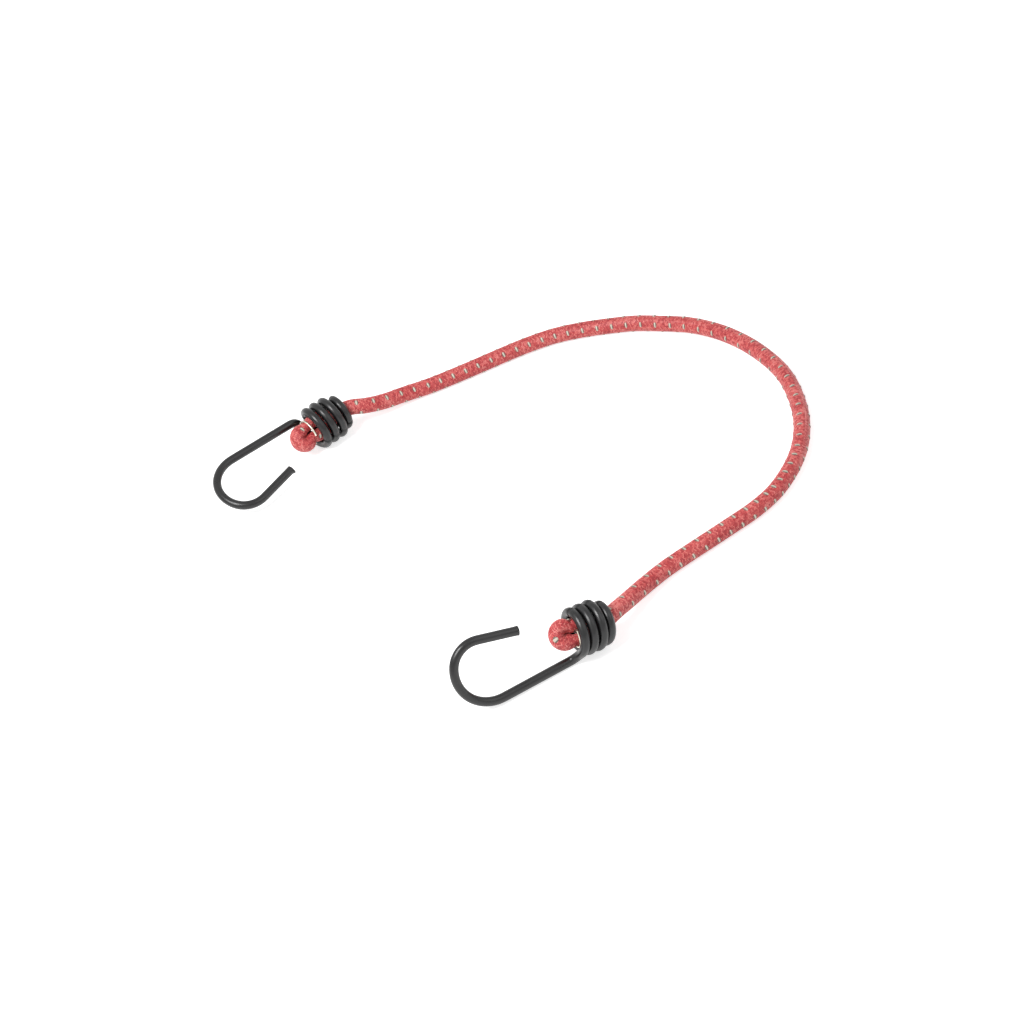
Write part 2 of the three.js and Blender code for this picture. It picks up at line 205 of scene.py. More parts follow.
def hook_points(hook):
    """The middle line of the wire, from the tip to the end of the coil."""
    at, heading = Vector((-MOUTH_BEND, hook["shank_radius"])), 180 - hook["splay"]
    plane = [at.copy()]

    def run(length, bend=0.0):
        nonlocal at, heading
        steps = max(2, round(length / WIRE_STEP))
        for _ in range(steps):
            heading += bend / steps / 2
            at = at + Vector(turned(heading)) * length / steps
            heading += bend / steps / 2
            plane.append(at.copy())

    run(hook["shank_length"])
    run(WIDE_BEND[0] * math.radians(WIDE_BEND[1]), WIDE_BEND[1])
    run(TIGHT_BEND[0] * math.radians(TIGHT_BEND[1]), TIGHT_BEND[1])
    run(hook["tip"])
    points = [(x, y, 0.0) for x, y in reversed(plane)]

    def mark(x, radius, angle, lean_share=1.0):
        lean = lean_share * COIL_LEAN * radius * math.cos(angle - math.radians(LEAN_ANGLE))
        points.append((x + lean, radius * math.cos(angle), -radius * math.sin(angle)))

    slope = math.atan(hook["pitch"] / (math.tau * COIL_RADIUS))
    for step in range(1, MOUTH_STEPS + 1):
        bent = (math.pi / 2 - slope) * step / MOUTH_STEPS
        x = MOUTH_BEND * (math.sin(bent) - 1)
        angle = MOUTH_BEND * (1 - math.cos(bent)) / COIL_RADIUS
        share = smooth(step / MOUTH_STEPS)
        mark(x, mix(hook["shank_radius"], COIL_RADIUS, share), angle, share)
    start_x, start = x, angle
    wound = COIL_TURNS * math.tau - start
    for step in range(1, COIL_STEPS + 1):
        angle = start + wound * step / COIL_STEPS
        taper = max(0.0, (angle / math.tau - COIL_TURNS + TAPER_TURNS) / TAPER_TURNS)
        radius = mix(COIL_RADIUS, TAIL_RADIUS, smooth(taper))
        mark(start_x + hook["pitch"] * (angle - start) / math.tau, radius, angle)
    hook["tail"] = points[-1][0]

    line = rounded(respaced(np.array(points), WIRE_STEP), 5)
    axis, around = coil_axes(hook)
    shankward = around(hook["shank"])
    basis = np.array([axis, shankward, axis.cross(shankward)])
    hook["flat"] = axis.cross(shankward)
    return line @ basis + np.array(hook["mouth"])


def cord_end(hook):
    """Knots of one end of the cord: back along the returning leg, round the fold and out along
    the other leg. Each has a point, its second cross axis and its two half widths."""
    axis, around = coil_axes(hook)
    mouth, out_leg, second = Vector(hook["mouth"]), around(LEG_ANGLE), around(LEG_ANGLE + 90)
    clip_end = hook["clip_depth"] + CLIP_WIDE

    def knot(x, offset, half, width):
        return [*(mouth + axis * x + out_leg * offset), *second, half, half * width]

    def leg(way):
        neck, bore = way * (NECK_HALF + LEG_GAP / 2), way * (LEG_HALF + LEG_GAP / 2)
        return [
            knot(hook["clip_depth"], neck, NECK_HALF, NECK_WIDTH),
            knot(clip_end, neck, NECK_HALF, NECK_WIDTH),
            knot(clip_end + SQUEEZE_LENGTH, bore, LEG_HALF, LEG_WIDTH),
            knot(RETURN_LEG_END, bore, LEG_HALF, LEG_WIDTH),
        ]

    radius = FOLD_HALF + FOLD_GAP / 2
    fold = []
    for step in range(9):
        back, aside = turned(180 * (step / 8 - 0.5))
        x, offset = -hook["setback"] - radius * back, hook["shift"] + radius * aside
        fold.append(knot(x, offset, FOLD_HALF, FOLD_WIDTH))
    bore = LEG_HALF + LEG_GAP / 2
    release = [
        knot(
            RETURN_LEG_END + RELEASE_LENGTH * share,
            mix(bore, 0, smooth(share)),
            mix(LEG_HALF, CORD_RADIUS, smooth(share)),
            mix(LEG_WIDTH, 1, smooth(share)),
        )
        for share in (0.5, 1)
    ]
    return [*reversed(leg(-1)), *fold, *leg(1), *release]


def cord_rows():
    """The cord's middle line from cut end to cut end, with its cross axis and half widths."""

    def exit_knots(hook):
        axis, around = coil_axes(hook)
        mouth, front = Vector(hook["mouth"]), around(90)
        return [mouth + axis * (hook["tail"] + x) + front * aside for x, aside in hook["exit"]]

    left, right = HOOKS["left"], HOOKS["right"]
    free = [*exit_knots(left), *map(Vector, FREE_ROUTE), *reversed(exit_knots(right))]
    middle = []
    for index, point in enumerate(free):
        ahead = free[min(index + 1, len(free) - 1)] - free[max(index - 1, 0)]
        second = ahead.cross(Vector((0, 0, 1))).normalized()
        middle.append([*point, *second, CORD_RADIUS, CORD_RADIUS])
    # The cord runs into this end the other way, so its cross axis turns over
    end = [[*k[:3], -k[3], -k[4], -k[5], *k[6:]] for k in reversed(cord_end(right))]
    return smooth_line([*cord_end(left), *middle, *end], CORD_STEP)


# ---- Node trees ----


def add(tree, kind, inputs=None, **settings):
    """Adds a node. inputs gives a socket, by name or number, its value, or the node or socket that
    it reads."""
    node = tree.nodes.new(kind)
    for name, value in settings.items():
        setattr(node, name, value)
    for key, value in (inputs or {}).items():
        if isinstance(value, bpy.types.Node):
            value = value.outputs[0]
        if isinstance(value, bpy.types.NodeSocket):
            tree.links.new(value, node.inputs[key])
        else:
            node.inputs[key].default_value = value
    return node


def new_tree(name, *sockets):
    """An empty tree that takes a geometry and the named inputs, and gives a geometry."""
    tree = bpy.data.node_groups.new(name, "GeometryNodeTree")
    tree.interface.new_socket("Geometry", in_out="OUTPUT", socket_type="NodeSocketGeometry")
    tree.interface.new_socket("Geometry", in_out="INPUT", socket_type="NodeSocketGeometry")
    for label in sockets:
        counts = ("Sides", "Rings", "Columns", "Rows", "Seed", "Facets", "Bands")
        kind = {"Material": "Material", **dict.fromkeys(counts, "Int")}.get(label, "Float")
        tree.interface.new_socket(label, in_out="INPUT", socket_type=f"NodeSocket{kind}")
    return tree, add(tree, "NodeGroupInput").outputs


SHARP_ANGLE = 40


def finish_tree(tree, geometry, material):
    """Ends a tree: real geometry, smooth but for its sharp edges, in its material."""
    real = add(tree, "GeometryNodeRealizeInstances", {0: geometry})
    angle = add(tree, "GeometryNodeInputMeshEdgeAngle")
    sharp = add(tree, "ShaderNodeMath", {0: angle, 1: math.radians(SHARP_ANGLE)},
                operation="GREATER_THAN")
    smooth_faces = add(tree, "GeometryNodeSetShadeSmooth", {0: real}, domain="FACE")
    edges = add(tree, "GeometryNodeSetShadeSmooth",
                {0: smooth_faces, 1: sharp, 2: False}, domain="EDGE")
    done = add(tree, "GeometryNodeSetMaterial", {0: edges, 2: material})
    add(tree, "NodeGroupOutput", {0: done})


def lay_on_path_group():
    """Takes a straight piece along Z to a path: X and Y go along the path's two cross axes."""
    tree = bpy.data.node_groups.new("Lay on path", "GeometryNodeTree")
    tree.interface.new_socket("Geometry", in_out="OUTPUT", socket_type="NodeSocketGeometry")
    tree.interface.new_socket("Straight piece", in_out="INPUT", socket_type="NodeSocketGeometry")
    tree.interface.new_socket("Path", in_out="INPUT", socket_type="NodeSocketGeometry")
    given = add(tree, "NodeGroupInput").outputs
    curve = add(tree, "GeometryNodeMeshToCurve", {0: given["Path"]})
    place = add(tree, "ShaderNodeSeparateXYZ",
                {0: add(tree, "GeometryNodeInputPosition")}).outputs
    total = None
    for label, size in (("first", place[0]), ("second", place[1])):
        named = add(tree, "GeometryNodeInputNamedAttribute", {0: label}, data_type="FLOAT_VECTOR")
        sample = add(tree, "GeometryNodeSampleCurve", {0: curve, 1: named, 3: place[2]},
                     data_type="FLOAT_VECTOR", mode="LENGTH")
        offset = add(tree, "ShaderNodeVectorMath", {0: sample, 3: size}, operation="SCALE")
        base = sample.outputs[1] if total is None else total
        total = add(tree, "ShaderNodeVectorMath", {0: base, 1: offset}, operation="ADD")
    laid = add(tree, "GeometryNodeSetPosition", {0: given["Straight piece"], 2: total})
    add(tree, "NodeGroupOutput", {0: laid})
    return tree


def lay(tree, straight, path):
    """Lays a straight piece on the path, inside a tree."""
    return add(tree, "GeometryNodeGroup", {0: straight, 1: path},
               node_tree=bpy.data.node_groups["Lay on path"])


def sleeve_tree():
    """A sleeve with both cut ends open. On the grid that it is made from, X runs along the wall:
    over the outside below 0 and along the bore above 0. Y runs round. A lip and a burr can stand
    up at its start, where the wire was cut."""
    tree, given = new_tree("Sleeve", "Length", "Radius", "Bore radius", "Chamfer", "Rings",
                           "Sides", "Lip", "Burr", "Material")
    span = add(tree, "ShaderNodeMath", {0: given["Rings"], 1: 2.0}, operation="MULTIPLY")
    loop = add(tree, "ShaderNodeMath", {0: span, 1: 1.0}, operation="ADD")
    around = add(tree, "ShaderNodeMath", {0: given["Sides"], 1: 1.0}, operation="ADD")
    grid = add(tree, "GeometryNodeMeshGrid", {0: span, 1: math.tau, 2: loop, 3: around})
    place = add(tree, "ShaderNodeSeparateXYZ", {0: add(tree, "GeometryNodeInputPosition")})
    along, angle = place.outputs[0], place.outputs[1]

    step = add(tree, "ShaderNodeMath", {0: along}, operation="ABSOLUTE")
    step = add(tree, "ShaderNodeMath", {0: step, 1: 2.0}, operation="SUBTRACT")
    plain = add(tree, "ShaderNodeMath", {0: given["Chamfer"], 1: -2.0, 2: given["Length"]},
                operation="MULTIPLY_ADD")
    steps = add(tree, "ShaderNodeMath", {0: given["Rings"], 1: 4.0}, operation="SUBTRACT")
    pitch = add(tree, "ShaderNodeMath", {0: plain, 1: steps}, operation="DIVIDE")
    height = add(tree, "ShaderNodeMath", {0: step, 1: pitch, 2: given["Chamfer"]},
                 operation="MULTIPLY_ADD")
    height = add(tree, "ShaderNodeClamp", {0: height, 1: 0.0, 2: given["Length"]})

    rest = add(tree, "ShaderNodeMath", {0: given["Length"], 1: height}, operation="SUBTRACT")
    end = add(tree, "ShaderNodeMath", {0: height, 1: rest}, operation="MINIMUM")
    cut = add(tree, "ShaderNodeMath", {0: given["Chamfer"], 1: end}, operation="SUBTRACT")
    cut = add(tree, "ShaderNodeMath", {0: cut, 1: 0.0}, operation="MAXIMUM")
    outer = add(tree, "ShaderNodeMath", {0: given["Radius"], 1: cut}, operation="SUBTRACT")
    near_start = add(tree, "ShaderNodeMapRange",
                     {0: height, 1: 0.0, 2: RIM_LENGTH * MM, 3: 1.0, 4: 0.0},
                     interpolation_type="SMOOTHSTEP")
    towards = add(tree, "ShaderNodeMath", {0: angle}, operation="COSINE")
    towards = add(tree, "ShaderNodeMath", {0: towards, 1: 0.0}, operation="MAXIMUM")
    towards = add(tree, "ShaderNodeMath", {0: towards, 1: BURR_FOCUS}, operation="POWER")
    raised = add(tree, "ShaderNodeMath", {0: towards, 1: given["Burr"], 2: given["Lip"]},
                 operation="MULTIPLY_ADD")
    outer = add(tree, "ShaderNodeMath", {0: near_start, 1: raised, 2: outer},
                operation="MULTIPLY_ADD")

    middle = add(tree, "ShaderNodeMath", {0: given["Rings"], 1: -0.5}, operation="MULTIPLY")
    reach = add(tree, "ShaderNodeMath", {0: given["Rings"], 1: 0.5, 2: -0.5},
                operation="MULTIPLY_ADD")
    outside = add(tree, "ShaderNodeMath", {0: along, 1: middle, 2: reach}, operation="COMPARE")
    radius = add(tree, "GeometryNodeSwitch", {0: outside, 1: given["Bore radius"], 2: outer},
                 input_type="FLOAT")
    parts = {2: height}
    for axis, operation in enumerate(("COSINE", "SINE")):
        share = add(tree, "ShaderNodeMath", {0: angle}, operation=operation)
        parts[axis] = add(tree, "ShaderNodeMath", {0: share, 1: radius}, operation="MULTIPLY")
    bent = add(tree, "GeometryNodeSetPosition",
               {0: grid, 2: add(tree, "ShaderNodeCombineXYZ", parts)})
    closed = add(tree, "GeometryNodeMergeByDistance", {0: bent, 2: 1e-6})
    finish_tree(tree, lay(tree, closed, given["Geometry"]), given["Material"])
    return tree


def rod_tree():
    """A solid round wire along the path that stops short of both of its ends."""
    tree, given = new_tree("Rod", "Length", "Radius", "Inset", "Rings", "Sides", "Material")
    depth = add(tree, "ShaderNodeMath", {0: given["Inset"], 1: -2.0, 2: given["Length"]},
                operation="MULTIPLY_ADD")
    rod = add(tree, "GeometryNodeMeshCylinder",
              {0: given["Sides"], 1: given["Rings"], 3: given["Radius"], 4: depth})
    middle = add(tree, "ShaderNodeMath", {0: given["Length"], 1: 0.5}, operation="MULTIPLY")
    offset = add(tree, "ShaderNodeCombineXYZ", {2: middle})
    moved = add(tree, "GeometryNodeTransform", {0: rod, 1: offset})
    finish_tree(tree, lay(tree, moved, given["Geometry"]), given["Material"])
    return tree


def core_tree():
    """Square latex threads, three by three, the length of the cord."""
    tree, given = new_tree("Latex core", "Length", "Inset", "Thread", "Spacing", "Rings",
                           "Material")
    depth = add(tree, "ShaderNodeMath", {0: given["Inset"], 1: -2.0, 2: given["Length"]},
                operation="MULTIPLY_ADD")
    middle = add(tree, "ShaderNodeMath", {0: given["Length"], 1: 0.5}, operation="MULTIPLY")
    radius = add(tree, "ShaderNodeMath", {0: given["Thread"], 1: math.sqrt(0.5)},
                 operation="MULTIPLY")
    thread = add(tree, "GeometryNodeMeshCylinder", {0: 4, 1: given["Rings"], 3: radius, 4: depth})
    offset = add(tree, "ShaderNodeCombineXYZ", {2: middle})
    square = add(tree, "GeometryNodeTransform", {0: thread, 1: offset, 2: (0, 0, math.pi / 4)})
    spread = add(tree, "ShaderNodeMath", {0: given["Spacing"], 1: 2.0}, operation="MULTIPLY")
    grid = add(tree, "GeometryNodeMeshGrid", {0: spread, 1: spread, 2: 3, 3: 3})
    copies = add(tree, "GeometryNodeInstanceOnPoints", {0: grid, 2: square})
    real = add(tree, "GeometryNodeRealizeInstances", {0: copies})
    finish_tree(tree, lay(tree, real, given["Geometry"]), given["Material"])
    return tree


def grain(tree, given):
    """One float of a yarn, where it shows between two crossings: a closed grain that lies across
    the X axis and is bent round the cord. It keeps its own place for the fibres' pattern."""
    ball = add(tree, "GeometryNodeMeshUVSphere", {0: given["Facets"], 1: given["Bands"], 2: 1.0})
    upright = add(tree, "GeometryNodeTransform", {0: ball, 2: (0, math.pi / 2, 0)})
    size = add(tree, "ShaderNodeCombineXYZ", {
        0: given["Half length"], 1: given["Half width"], 2: given["Half height"],
    })
    stretched = add(tree, "GeometryNodeTransform", {0: upright, 3: size})
    position = add(tree, "GeometryNodeInputPosition")
    kept = add(tree, "GeometryNodeStoreNamedAttribute",
               {0: stretched, 2: "grain", 3: position}, data_type="FLOAT_VECTOR")

    slant = add(tree, "ShaderNodeVectorRotate", {0: position, 3: given["Slant"]},
                rotation_type="Z_AXIS")
    flat = add(tree, "ShaderNodeSeparateXYZ", {0: slant}).outputs
    radius = add(tree, "ShaderNodeMath", {0: given["Radius"], 1: flat[2]}, operation="ADD")
    angle = add(tree, "ShaderNodeMath", {0: flat[0], 1: given["Radius"]}, operation="DIVIDE")
    parts = []
    for operation in ("COSINE", "SINE"):
        share = add(tree, "ShaderNodeMath", {0: angle}, operation=operation)
        parts.append(add(tree, "ShaderNodeMath", {0: share, 1: radius}, operation="MULTIPLY"))
    bent = add(tree, "ShaderNodeCombineXYZ", {0: parts[0], 1: parts[1], 2: flat[1]})
    return add(tree, "GeometryNodeSetPosition", {0: kept, 2: bent})


def on_points(tree, given, points, shape, angle):
    """Copies of a shape, each turned about the cord's axis and with a tone of its own, laid on
    the path."""
    turn = add(tree, "ShaderNodeCombineXYZ", {2: angle})
    turn = add(tree, "FunctionNodeEulerToRotation", {0: turn})
    copies = add(tree, "GeometryNodeInstanceOnPoints", {0: points, 2: shape, 5: turn})
    chance = add(tree, "FunctionNodeRandomValue", {8: given["Seed"]}, data_type="FLOAT")
    toned = add(tree, "GeometryNodeStoreNamedAttribute",
                {0: copies, 2: "tone", 3: chance.outputs[1]},
                data_type="FLOAT", domain="INSTANCE")
    real = add(tree, "GeometryNodeRealizeInstances", {0: toned})
    finish_tree(tree, lay(tree, real, given["Geometry"]), given["Material"])


def braid_tree():
    """The yarns of one lay where they show on the cover: columns along the cord, and in each a
    grain at every pitch."""
    tree, given = new_tree("Braid", "Half length", "Half width", "Half height", "Facets", "Bands",
                           "Slant", "Radius", "Columns", "First angle", "Rows", "Start", "Pitch",
                           "Seed", "Material")

    index = add(tree, "GeometryNodeInputIndex")
    row = add(tree, "ShaderNodeMath", {0: index, 1: 0.5}, operation="ADD")
    row = add(tree, "ShaderNodeMath", {0: row, 1: given["Columns"]}, operation="DIVIDE")
    row = add(tree, "ShaderNodeMath", {0: row}, operation="FLOOR")
    height = add(tree, "ShaderNodeMath", {0: row, 1: given["Pitch"], 2: given["Start"]},
                 operation="MULTIPLY_ADD")
    share = add(tree, "ShaderNodeMath", {0: index, 1: given["Columns"]}, operation="DIVIDE")
    angle = add(tree, "ShaderNodeMath", {0: share, 1: math.tau, 2: given["First angle"]},
                operation="MULTIPLY_ADD")
    count = add(tree, "ShaderNodeMath", {0: given["Columns"], 1: given["Rows"]},
                operation="MULTIPLY")
    points = add(tree, "GeometryNodePoints",
                 {0: count, 1: add(tree, "ShaderNodeCombineXYZ", {2: height})})
    on_points(tree, given, points, grain(tree, given), angle)
    return tree


def tracer_tree():
    """Tracer yarn: a bar at each point of the given list. A point's Z is its place along the cord
    and its attribute angle the place round it."""
    tree, given = new_tree("Tracer yarn", "Half length", "Half width", "Half height", "Facets",
                           "Bands", "Slant", "Radius", "Seed", "Material")
    spots = add(tree, "GeometryNodeObjectInfo", {0: bpy.data.objects["tracer_spots"]})
    points = add(tree, "GeometryNodeMeshToPoints", {0: spots.outputs["Geometry"]})
    angle = add(tree, "GeometryNodeInputNamedAttribute", {0: "angle"}, data_type="FLOAT")
    on_points(tree, given, points, grain(tree, given), angle)
    return tree


def build(name, tree, path, **inputs):
    """The piece that a tree makes on a path, as a plain mesh object."""
    work = bpy.data.objects.new(f"{name}_work", path.data)
    bpy.context.scene.collection.objects.link(work)
    modifier = work.modifiers.new("build", "NODES")
    modifier.node_group = tree
    for item in tree.interface.items_tree:
        label = item.name.replace(" ", "_").lower()
        if item.in_out == "INPUT" and label in inputs:
            modifier[item.identifier] = inputs.pop(label)
    assert not inputs, f"{name}: no such inputs {list(inputs)}"
    depsgraph = bpy.context.evaluated_depsgraph_get()
    mesh = bpy.data.meshes.new_from_object(
        work.evaluated_get(depsgraph), preserve_all_data_layers=True, depsgraph=depsgraph
    )
    mesh.name = name
    bpy.data.objects.remove(work)
    piece = bpy.data.objects.new(name, mesh)
    bpy.context.scene.collection.objects.link(piece)
    return piece


# ---- Materials ----
#
# A noise's or a cell pattern's scale is how many of its spots lie in a metre.


def linear(colour):
    """The linear colour of an sRGB hex value."""
    shares = [int(colour[i:i + 2], 16) / 255 for i in (1, 3, 5)]
    return *(c / 12.92 if c <= 0.04045 else ((c + 0.055) / 1.055) ** 2.4 for c in shares), 1.0


def new_material(name, roughness, **settings):
    """A material, its tree and its shader, which gets the settings in its own sockets."""
    material = bpy.data.materials.new(name)
    material.use_nodes = True
    tree = material.node_tree
    shader = tree.nodes["Principled BSDF"]
    shader.inputs["Roughness"].default_value = roughness
    for label, value in settings.items():
        shader.inputs[label.replace("_", " ")].default_value = value
    return material, tree, shader


def ramp(tree, share, *stops):
    """A colour ramp of (place, sRGB hex) stops."""
    node = add(tree, "ShaderNodeValToRGB", {0: share})
    while len(node.color_ramp.elements) < len(stops):
        node.color_ramp.elements.new(1.0)
    for element, (place, colour) in zip(node.color_ramp.elements, stops):
        element.position, element.color = place, linear(colour)
    return node.outputs[0]


def fibres(tree, size):
    """Fine lines along a yarn's grain. size is how many millimetres one fibre is across. Real
    ones are about 0.02 mm, too fine to show, so they are drawn several times as coarse."""
    place = add(tree, "ShaderNodeAttribute", attribute_name="grain").outputs["Vector"]
    lines = add(tree, "ShaderNodeMapping", {0: place, 3: (150, 1000 / size, 1000 / size)},
                vector_type="POINT")
    return add(tree, "ShaderNodeTexNoise", {"Vector": lines, "Scale": 1.0, "Detail": 1.0})


def yarn_material(name, dark, plain, light):
    """Spun-dyed polyester yarn, braided: matt, with a soft sheen across the fibres. Its tone
    changes a little from float to float, and in soft bands about 11 mm long."""
    material, tree, shader = new_material(name, 0.42, Sheen_Weight=0.12, Sheen_Roughness=0.4)
    tone = add(tree, "ShaderNodeAttribute", attribute_name="tone").outputs["Fac"]
    place = add(tree, "ShaderNodeTexCoord").outputs["Object"]
    bands = add(tree, "ShaderNodeTexNoise", {"Vector": place, "Scale": 90.0, "Detail": 2.0})
    share = add(tree, "ShaderNodeMath", {0: tone, 1: bands}, operation="ADD")
    share = add(tree, "ShaderNodeMath", {0: share, 1: 0.5}, operation="MULTIPLY")
    colour = ramp(tree, share, (0.2, dark), (0.5, plain), (0.8, light))
    tree.links.new(colour, shader.inputs["Base Color"])
    bump = add(tree, "ShaderNodeBump",
               {"Height": fibres(tree, 0.1), "Distance": 0.00004, "Strength": 0.6})
    tree.links.new(bump.outputs[0], shader.inputs["Normal"])
    return material


def ground_painted_shade_material():
    """The same polyester, deep between the floats, painted darker than the floats as painted shade
    for the little light that reaches it there, and mottled at the 0.8 mm spacing of the floats."""
    material, tree, shader = new_material("polyester_braid_ground", 0.9)
    place = add(tree, "ShaderNodeTexCoord").outputs["Object"]
    noise = add(tree, "ShaderNodeTexNoise", {"Vector": place, "Scale": 1200.0, "Detail": 1.0})
    # Both reds are darker than the yarn's: painted shade between the floats, with a random mottle
    # between them
    colour = ramp(tree, noise, (0.3, "#8c262b"), (0.7, "#a23338"))
    tree.links.new(colour, shader.inputs["Base Color"])
    return material


def tracer_material(name, middle, rim):
    """Retro-reflective tracer yarn: a flat film of tiny glass beads, pale grey in its middle, with
    painted shade darkening it along both of its edges, half a millimetre from its middle, where
    the film turns away from the eye. Real beads are about 0.05 mm; here they are twice that, to
    show at all."""
    material, tree, shader = new_material(name, 0.45, Metallic=0.15)
    place = add(tree, "ShaderNodeAttribute", attribute_name="grain").outputs["Vector"]
    across = add(tree, "ShaderNodeSeparateXYZ", {0: place}).outputs[1]
    share = add(tree, "ShaderNodeMath", {0: across}, operation="ABSOLUTE")
    share = add(tree, "ShaderNodeMath", {0: share, 1: 1 / (0.5 * MM)}, operation="MULTIPLY")
    # The rim colour is painted shade along both edges of each bar
    colour = ramp(tree, share, (0.25, middle), (0.62, middle), (0.9, rim))
    tree.links.new(colour, shader.inputs["Base Color"])
    beads = add(tree, "ShaderNodeTexVoronoi", {"Vector": place, "Scale": 9000.0})
    bump = add(tree, "ShaderNodeBump", {"Height": beads, "Distance": 0.00002})
    tree.links.new(bump.outputs[0], shader.inputs["Normal"])
    return material


def coating_material():
    """Soft PVC, dipped over the wire: satin black with a faintly uneven skin, in bumps about
    1 mm across, and duller rubbed patches about 5 mm across."""
    material, tree, shader = new_material("dipped_pvc_black", 0.4)
    place = add(tree, "ShaderNodeTexCoord").outputs["Object"]
    rubbed = add(tree, "ShaderNodeTexNoise",
                 {"Vector": place, "Scale": 220.0, "Detail": 4.0, "Roughness": 0.6})
    colour = ramp(tree, rubbed, (0.3, "#0e0e0f"), (0.7, "#171718"))
    tree.links.new(colour, shader.inputs["Base Color"])
    rough = add(tree, "ShaderNodeMapRange", {0: rubbed, 1: 0.3, 2: 0.7, 3: 0.24, 4: 0.36})
    tree.links.new(rough.outputs[0], shader.inputs["Roughness"])
    skin = add(tree, "ShaderNodeTexNoise", {"Vector": place, "Scale": 900.0, "Detail": 3.0})
    bump = add(tree, "ShaderNodeBump", {"Height": skin, "Distance": 0.00006, "Strength": 0.5})
    tree.links.new(bump.outputs[0], shader.inputs["Normal"])
    return material


def metal_material(name, dark, light, roughness, scale):
    """Drawn wire, plain or zinc plated: satin, with duller spots of one to two millimetres."""
    material, tree, shader = new_material(name, roughness, Metallic=1.0)
    place = add(tree, "ShaderNodeTexCoord").outputs["Object"]
    noise = add(tree, "ShaderNodeTexNoise", {"Vector": place, "Scale": scale, "Detail": 3.0})
    colour = ramp(tree, noise, (0.35, dark), (0.65, light))
    tree.links.new(colour, shader.inputs["Base Color"])
    bump = add(tree, "ShaderNodeBump", {"Height": noise, "Distance": 0.00003})
    tree.links.new(bump.outputs[0], shader.inputs["Normal"])
    return material


def latex_material():
    """Cut natural latex thread: pale amber, matt and powdered with talc."""
    material, tree, shader = new_material("talced_latex_thread", 0.75, Subsurface_Weight=0.1)
    place = add(tree, "ShaderNodeTexCoord").outputs["Object"]
    noise = add(tree, "ShaderNodeTexNoise", {"Vector": place, "Scale": 700.0, "Detail": 2.0})
    colour = ramp(tree, noise, (0.35, "#cdb988"), (0.65, "#e2d5b0"))
    tree.links.new(colour, shader.inputs["Base Color"])
    return material


# ---- The camera ----

# The point of the table in the middle of the picture, and the view of it
TARGET = Vector((53.784, 5.678, 0.0))
ELEVATION, ROLL, DISTANCE, PIXELS_PER_MM = 34.2578, -19.908, 1407.524, 2.138442
PICTURE_WIDTH, SENSOR_WIDTH = 1024, 36.0


def make_camera():
    """The photograph's view: far off, looking down at the table, and rolled."""
    down, roll = turned(ELEVATION), turned(ROLL)
    look = Vector((0, down[0], -down[1]))
    rise = Vector((0, down[1], down[0]))
    right = Vector((1, 0, 0)) * roll[0] + rise * roll[1]
    up = rise * roll[0] - Vector((1, 0, 0)) * roll[1]
    data = bpy.data.cameras.new("camera")
    data.sensor_width = SENSOR_WIDTH
    data.lens = PIXELS_PER_MM * DISTANCE / PICTURE_WIDTH * SENSOR_WIDTH
    data.clip_start, data.clip_end = 0.05, 20.0
    camera = bpy.data.objects.new("camera", data)
    camera.matrix_world = Matrix.Translation((TARGET - look * DISTANCE) * MM) @ Matrix(
        (right, up, -look)
    ).transposed().to_4x4()
    bpy.context.scene.collection.objects.link(camera)
    bpy.context.scene.camera = camera


make_camera()

# ---- The paths ----

hook_paths = {}
for side, hook in HOOKS.items():
    line = hook_points(hook)
    hook["length"] = length_of(line)
    hook_paths[side] = path_object(f"{side}_hook_path", line, [hook["flat"]] * len(line))

rows = cord_rows()
cord_line = rows[:, :3]
cord_length = length_of(cord_line)
cord_path = path_object("cord_path", cord_line, rows[:, 3:6], rows[:, 6:8] / CORD_RADIUS)

# ---- The cord ----

lay_on_path_group()
sleeve, rod, braid = sleeve_tree(), rod_tree(), braid_tree()

# The ground of the braid lies a little inside the cord's size, which its floats fill up
GROUND_RADIUS = 3.72
cover = build(
    "cord_cover_ground", sleeve, cord_path, length=cord_length * MM, radius=GROUND_RADIUS * MM,
    bore_radius=(CORD_RADIUS - COVER_WALL) * MM, chamfer=0.2 * MM, rings=round(cord_length),
    sides=28, material=ground_painted_shade_material(),
)

# Each lay has this many floats round the cord, one row at every pitch along it, at its slant. The
# first row is a little inside the cut end.
BRAID_COLUMNS, BRAID_PITCH, BRAID_SLANT, BRAID_START = 12, 0.75, 29, 0.6
yarn = yarn_material("braided_polyester_coral", "#b0363c", "#d65d5c", "#ef8f89")
braid_sizes = dict(
    half_length=0.84 * MM, half_width=0.37 * MM, half_height=0.31 * MM, facets=5, bands=3,
    radius=3.71 * MM, columns=BRAID_COLUMNS, pitch=BRAID_PITCH * MM, material=yarn,
    rows=int((cord_length - 2 * BRAID_START) / BRAID_PITCH),
)
yarns = [
    build("braid_yarns_right_lay", braid, cord_path, slant=math.radians(BRAID_SLANT),
          first_angle=0.0, start=BRAID_START * MM, seed=3, **braid_sizes),
    build("braid_yarns_left_lay", braid, cord_path, slant=math.radians(-BRAID_SLANT),
          first_angle=math.pi / BRAID_COLUMNS, start=(BRAID_START + BRAID_PITCH / 2) * MM, seed=8,
          **braid_sizes),
]

